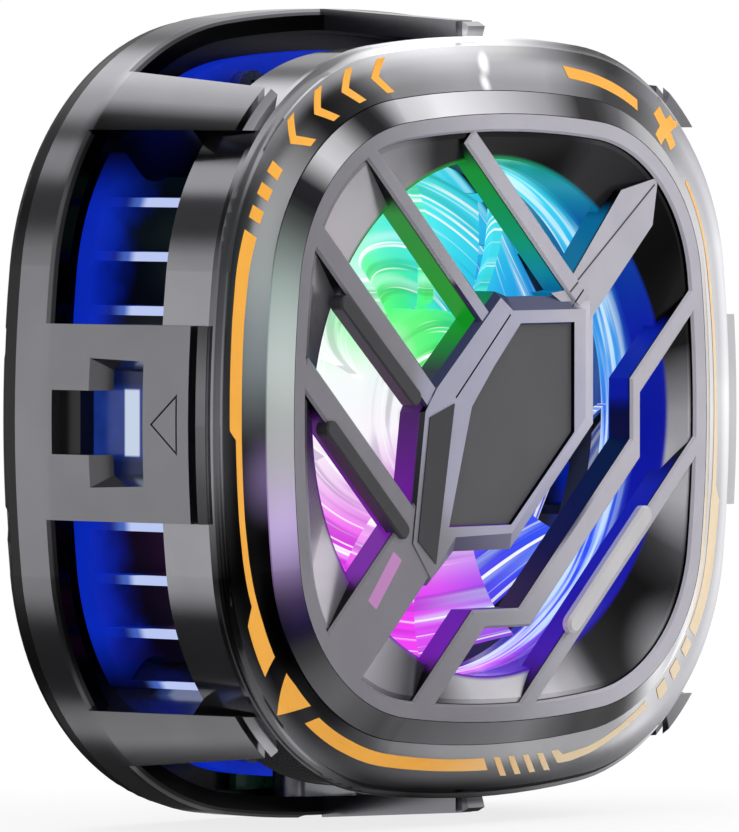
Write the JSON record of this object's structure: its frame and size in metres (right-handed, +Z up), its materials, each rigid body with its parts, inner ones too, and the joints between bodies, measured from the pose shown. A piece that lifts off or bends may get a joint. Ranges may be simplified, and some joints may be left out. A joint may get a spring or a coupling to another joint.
{
  "type": "phone cooling fan",
  "caption": "Squarish clip-on phone cooler with a lit fan behind an angular grille, side windows onto a finned heat sink, and a round cold plate.",
  "frame": {"origin": "middle of the pad face that touches the phone", "axes": "+X to the right seen from the grille, +Y towards the phone, +Z up"},
  "size_m": [0.0686, 0.0276, 0.0686],
  "materials": {
    "black_plastic": "fine moulded texture",
    "gunmetal": "satin metallic paint",
    "gloss_gunmetal": "gloss metallic lacquer",
    "bright_trim": "satin chrome plating on plastic",
    "light_grille": "satin light metallic paint",
    "dark_insert": "fine matt",
    "gloss_duct": "gloss metallic lacquer",
    "aluminium": "milled",
    "light_guide": "translucent, frosted",
    "fan_plastic": "translucent, frosted",
    "grey_plastic": "moulded",
    "ceramic": "fired alumina",
    "pellet": "cast semiconductor",
    "foam": "closed-cell foam",
    "silicone": "soft silicone",
    "magnet": "nickel plated",
    "steel": "zinc plated",
    "ferrite": "bonded magnet",
    "copper": "enamelled copper wire",
    "bronze": "oil-filled sintered bronze",
    "circuit_board": "solder mask",
    "lamp": "clear lens",
    "orange_ink": "printed orange ink"
  },
  "bodies": {
    "cooler": {"rear_cover": "black_plastic", "thermal_pad": "silicone", "cold_plate": "aluminium", "ring_magnets": "magnet", "magnet_shield": "steel", "cold_ceramic": "ceramic", "cooler_pellets": "pellet", "hot_ceramic": "ceramic", "insulating_foam": "foam", "heat_sink": "aluminium", "mid_housing": "gunmetal", "inner_shroud": "gloss_gunmetal", "front_bezel": "gloss_gunmetal", "trim_ring": "bright_trim", "air_duct": "gloss_duct", "grille": "light_grille", "hub_plate": "dark_insert", "grille_inserts": "dark_insert", "raised_bar": "light_grille", "light_ring": "light_guide", "led_board": "circuit_board", "leds": "lamp", "fan_frame": "grey_plastic", "bearing_bush": "bronze", "stator_core": "steel", "stator_coils": "copper", "motor_board": "circuit_board", "slot_light_guides": "light_guide", "slot_stops": "grey_plastic", "charging_inlet": "steel", "control_board": "circuit_board", "cover_screws": "steel", "shroud_screws": "steel", "sink_screws": "steel", "fan_screws": "steel"},
    "fan": {"impeller": "fan_plastic", "rotor_yoke": "steel", "rotor_magnet": "ferrite", "rotor_shaft": "steel"}
  },
  "joints": [
    {"name": "fan_spin", "type": "hinge", "parent": "cooler", "child": "fan", "pos_m": [0, -0.015, 0], "axis": [0, -1, 0], "continuous": true}
  ]
}
